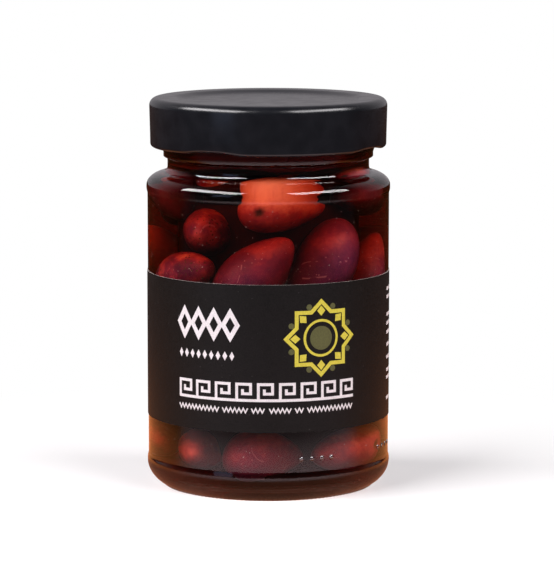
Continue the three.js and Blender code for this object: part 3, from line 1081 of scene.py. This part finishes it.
def label_material(groups):
    """Black satin paper: the ink has a fine pale grain and a few rubbed specks."""
    material, nodes, links, shader = new_material("label_black_paper")
    place = object_place(nodes)
    grain = apply_group(nodes, links, groups["mottle"], place, Scale=3200, Contrast=0.35)
    rubbed = apply_group(nodes, links, groups["specks"], place, Scale=1300, Size=0.3, Share=0.10)
    ink = mix_colour(nodes, links, grain, INK_COLOURS[0], INK_COLOURS[1])
    links.new(mix_colour(nodes, links, rubbed, ink, INK_RUBBED), shader.inputs["Base Color"])
    links.new(map_range(nodes, links, grain, (0, 1), INK_ROUGHNESS), shader.inputs["Roughness"])
    shader.inputs["Specular IOR Level"].default_value = 0.22
    roughen(nodes, links, shader, grain, 0.02 * MM)
    return material


def paper_material(name, colours, groups):
    """Plain printed paper in one colour, a little uneven."""
    material, nodes, links, shader = new_material(name)
    place = object_place(nodes)
    grain = apply_group(nodes, links, groups["mottle"], place, Scale=2400, Contrast=0.4)
    links.new(mix_colour(nodes, links, grain, colours[0], colours[1]), shader.inputs["Base Color"])
    links.new(map_range(nodes, links, grain, (0, 1), PAPER_ROUGHNESS), shader.inputs["Roughness"])
    return material


def olive_material(groups):
    """Purple to salmon skin: cloudy, with pores, pale scratches, and a brown scar at the stalk. The tone it
    reads also carries painted light and shade, paler on each olive's upper side.
    """
    material, nodes, links, shader = new_material("olive_skin")
    place = object_place(nodes)
    # the tone attribute holds painted light and shade as well as the olive's own tone
    tone = attribute(nodes, "tone")
    scar = attribute(nodes, "scar")
    flecked = attribute(nodes, "flecked")
    cloud = apply_group(nodes, links, groups["mottle"], place, Scale=130, Contrast=0.5)
    grain = apply_group(nodes, links, groups["mottle"], place, Scale=900, Contrast=0.7)
    pores = apply_group(nodes, links, groups["specks"], place, Scale=1100, Size=0.26, Share=0.3)
    marks = apply_group(nodes, links, groups["scratches"], place, Scale=70, Width=0.006, Share=0.42)
    fleck = apply_group(nodes, links, groups["specks"], place, Scale=1300, Size=0.5, Share=0.45)
    patchy = map_range(nodes, links, flecked, (0, 1), (0.3, 0.75))
    cloud_around = math_node(nodes, links, "SUBTRACT", cloud, 0.5)
    grain_around = math_node(nodes, links, "SUBTRACT", grain, 0.5)
    shifted = math_node(nodes, links, "MULTIPLY_ADD", cloud_around, patchy, tone)
    uneven = math_node(nodes, links, "MULTIPLY_ADD", grain_around, 0.14, shifted)
    ramp = nodes.new("ShaderNodeValToRGB")
    elements = ramp.color_ramp.elements
    elements[0].color = SKIN_COLOURS[0]
    elements[1].color = SKIN_COLOURS[-1]
    for i, colour in enumerate(SKIN_COLOURS[1:-1], 1):
        elements.new(i / (len(SKIN_COLOURS) - 1)).color = colour
    links.new(uneven, ramp.inputs["Fac"])
    faint = math_node(nodes, links, "MULTIPLY", math_node(nodes, links, "MAXIMUM", pores, marks), 0.35)
    pale = mix_colour(nodes, links, faint, ramp.outputs["Color"], SKIN_PALE)
    dark = math_node(nodes, links, "MAXIMUM", scar, math_node(nodes, links, "MULTIPLY", fleck, flecked))
    links.new(mix_colour(nodes, links, dark, pale, SCAR_COLOUR), shader.inputs["Base Color"])
    links.new(map_range(nodes, links, grain, (0, 1), SKIN_ROUGHNESS), shader.inputs["Roughness"])
    shader.inputs["Specular IOR Level"].default_value = 0.1
    height = math_node(nodes, links, "MULTIPLY_ADD", grain, 0.4, cloud)
    roughen(nodes, links, shader, height, 0.12 * MM)
    return material


def core_material(groups):
    """The olives deep in the jar, where hardly any light gets, coloured in painted shade."""
    material, nodes, links, shader = new_material("olive_deep")
    place = object_place(nodes)
    cloud = apply_group(nodes, links, groups["mottle"], place, Scale=80, Contrast=0.4)
    links.new(mix_colour(nodes, links, cloud, DEEP_PAINTED_SHADE_COLOURS[0], DEEP_PAINTED_SHADE_COLOURS[1]), shader.inputs["Base Color"])
    shader.inputs["Roughness"].default_value = DEEP_ROUGHNESS
    return material


def seen_as(nodes, links, plain, mirrored, through, on_olives):
    """A surrounding seen by the camera, in reflections, and through glass, and how it lights the olives."""
    path = nodes.new("ShaderNodeLightPath")
    lighting = math_node(nodes, links, "MINIMUM", path.outputs["Diffuse Depth"], 1)
    within = mix_shaders(nodes, links, lighting, through, on_olives)
    shown = mix_shaders(nodes, links, path.outputs["Is Transmission Ray"], plain, within)
    return mix_shaders(nodes, links, path.outputs["Is Reflection Ray"], shown, mirrored)


def glow(nodes, links, strength, colour=(1, 1, 1, 1)):
    """Plain light of the given strength, which may be a number or a socket."""
    node = nodes.new("ShaderNodeEmission")
    node.inputs["Color"].default_value = colour
    feed(links, node.inputs["Strength"], strength)
    return node.outputs["Emission"]


def floor_material():
    """Pale paper, lit by the lamps round the jar and evenly white further out. Through the glass and in its
    reflections it shows a painted red-brown shadow near the jar.
    """
    material, nodes, links, shader = new_material("pale_floor")
    shader.inputs["Base Color"].default_value = FLOOR_COLOUR
    shader.inputs["Roughness"].default_value = FLOOR_ROUGHNESS
    place = nodes.new("ShaderNodeTexCoord")
    far = add_node(nodes, "ShaderNodeVectorMath", operation="LENGTH")
    links.new(place.outputs["Object"], far.inputs[0])
    distance = far.outputs["Value"]
    fade = map_range(nodes, links, distance, FLOOR_FADE)
    pale = mix_shaders(nodes, links, fade, shader.outputs["BSDF"], glow(nodes, links, FLOOR_WHITE))
    shadow_end = map_range(nodes, links, distance, FLOOR_SHADED)
    # Painted shadow: through the glass, the floor under and near the jar is a dim red-brown, fading out
    # further away.
    painted_shadow = glow(nodes, links, 1, FLOOR_PAINTED_SHADOW_COLOUR)
    around = glow(nodes, links, 1, FLOOR_AROUND_COLOUR)
    beside = mix_shaders(nodes, links, shadow_end, painted_shadow, around)
    bright = map_range(nodes, links, distance, FLOOR_MIRRORED_ENDS, FLOOR_MIRRORED)
    sides = nodes.new("ShaderNodeSeparateXYZ")
    links.new(place.outputs["Object"], sides.inputs["Vector"])
    back = map_range(nodes, links, sides.outputs["Y"], FLOOR_FRONT_TO_BACK)
    front_mirrored = glow(nodes, links, bright, FLOOR_MIRRORED_FRONT)
    back_mirrored = glow(nodes, links, bright, FLOOR_MIRRORED_BACK)
    far_mirrored = mix_shaders(nodes, links, back, front_mirrored, back_mirrored)
    near_end = map_range(nodes, links, distance, FLOOR_NEAR)
    # Painted shadow in reflections: the floor right beside the jar is mirrored warm and dim.
    mirrored_painted_shadow = glow(nodes, links, 1, FLOOR_MIRRORED_PAINTED_SHADOW)
    mirrored = mix_shaders(nodes, links, near_end, mirrored_painted_shadow, far_mirrored)
    on_olives = glow(nodes, links, 1, FLOOR_ON_OLIVES)
    shown = seen_as(nodes, links, pale, mirrored, beside, on_olives)
    links.new(shown, nodes["Material Output"].inputs["Surface"])
    return material


def camera():
    data = bpy.data.cameras.new("camera")
    data.sensor_width = SENSOR_WIDTH
    data.lens = CAMERA_LENS
    data.shift_x, data.shift_y = CAMERA_SHIFT
    data.clip_start = CLIP_START
    eye = bpy.data.objects.new("camera", data)
    eye.location = (0, -CAMERA_DISTANCE, CAMERA_HEIGHT)
    eye.rotation_euler = (math.radians(90 - CAMERA_PITCH), 0, 0)
    bpy.context.scene.collection.objects.link(eye)
    bpy.context.scene.camera = eye


def lamp(name, azimuth, elevation, width, height, power, colour):
    data = bpy.data.lights.new(name, "AREA")
    data.shape = "RECTANGLE"
    data.size, data.size_y = width, height
    data.energy = power
    data.color = colour
    piece = bpy.data.objects.new(name, data)
    a, e = math.radians(azimuth), math.radians(elevation)
    away = Vector((math.sin(a) * math.cos(e), -math.cos(a) * math.cos(e), math.sin(e)))
    piece.location = LAMP_AIM + away * LAMP_DISTANCE
    piece.rotation_euler = away.to_track_quat("Z", "Y").to_euler()
    piece.visible_transmission = False
    bpy.context.scene.collection.objects.link(piece)


def floor(material):
    bm = bmesh.new()
    place = Matrix.Translation((0, 0, FLOOR_Z))
    bmesh.ops.create_grid(bm, x_segments=4, y_segments=4, size=FLOOR_REACH, matrix=place)
    mesh = bpy.data.meshes.new("floor")
    bm.to_mesh(mesh)
    bm.free()
    mesh.materials.append(material)
    piece = bpy.data.objects.new("floor", mesh)
    bpy.context.scene.collection.objects.link(piece)


def surroundings():
    """A dim room in front, brighter behind the jar. Through the glass it shows warm."""
    world = bpy.data.worlds.new("studio")
    bpy.context.scene.world = world
    world.use_nodes = True
    nodes = world.node_tree.nodes
    links = world.node_tree.links
    direction = nodes.new("ShaderNodeTexCoord")
    parts = nodes.new("ShaderNodeSeparateXYZ")
    links.new(direction.outputs["Generated"], parts.inputs["Vector"])
    behind = map_range(nodes, links, parts.outputs["Y"], ROOM_BEHIND, ROOM_MIRRORED)
    through = map_range(nodes, links, parts.outputs["Y"], ROOM_BEHIND_GLASS, ROOM_THROUGH_GLASS)
    shown = seen_as(
        nodes,
        links,
        glow(nodes, links, 1, ROOM_COLOUR),
        glow(nodes, links, behind, ROOM_MIRRORED_COLOUR),
        glow(nodes, links, through, ROOM_THROUGH_COLOUR),
        glow(nodes, links, 1, ROOM_ON_OLIVES),
    )
    links.new(shown, nodes["World Output"].inputs["Surface"])


def studio():
    surroundings()
    for name, values in LAMPS.items():
        lamp(name, *values)
    floor(floor_material())
    bpy.context.scene.view_settings.view_transform = "Standard"


camera()
jar_glass(
    glass_material("clear_glass", GLASS_IOR),
    glass_material("clear_glass_wet", GLASS_IOR / BRINE_IOR),
    glass_material("clear_glass_stippled", GLASS_IOR, STIPPLE),
)
bead_glass_painted_shade = dot_material()
mould_dots(bead_glass_painted_shade)
foot_knurls(bead_glass_painted_shade)
brine(brine_material())
bubbles(bubble_material())
effects = {"mottle": mottle_group(), "specks": specks_group(), "scratches": scratches_group()}
lid(lid_material(effects))
label(label_material(effects), paper_material("paper_edge", PAPER_EDGE_COLOURS, effects))
white_ink = paper_material("white_ink", WHITE_PRINT_COLOURS, effects)
printed_ink("label_print", white_ink, white_print)
yellow_ink = paper_material("yellow_ink", YELLOW_PRINT_COLOURS, effects)
printed_ink("label_star", yellow_ink, star_lines)
green_ink = paper_material("green_ink", GREEN_PRINT_COLOURS, effects)
printed_ink("label_star_middle", green_ink, star_middle)
olives(olive_material(effects))
olive_core(core_material(effects))
studio()
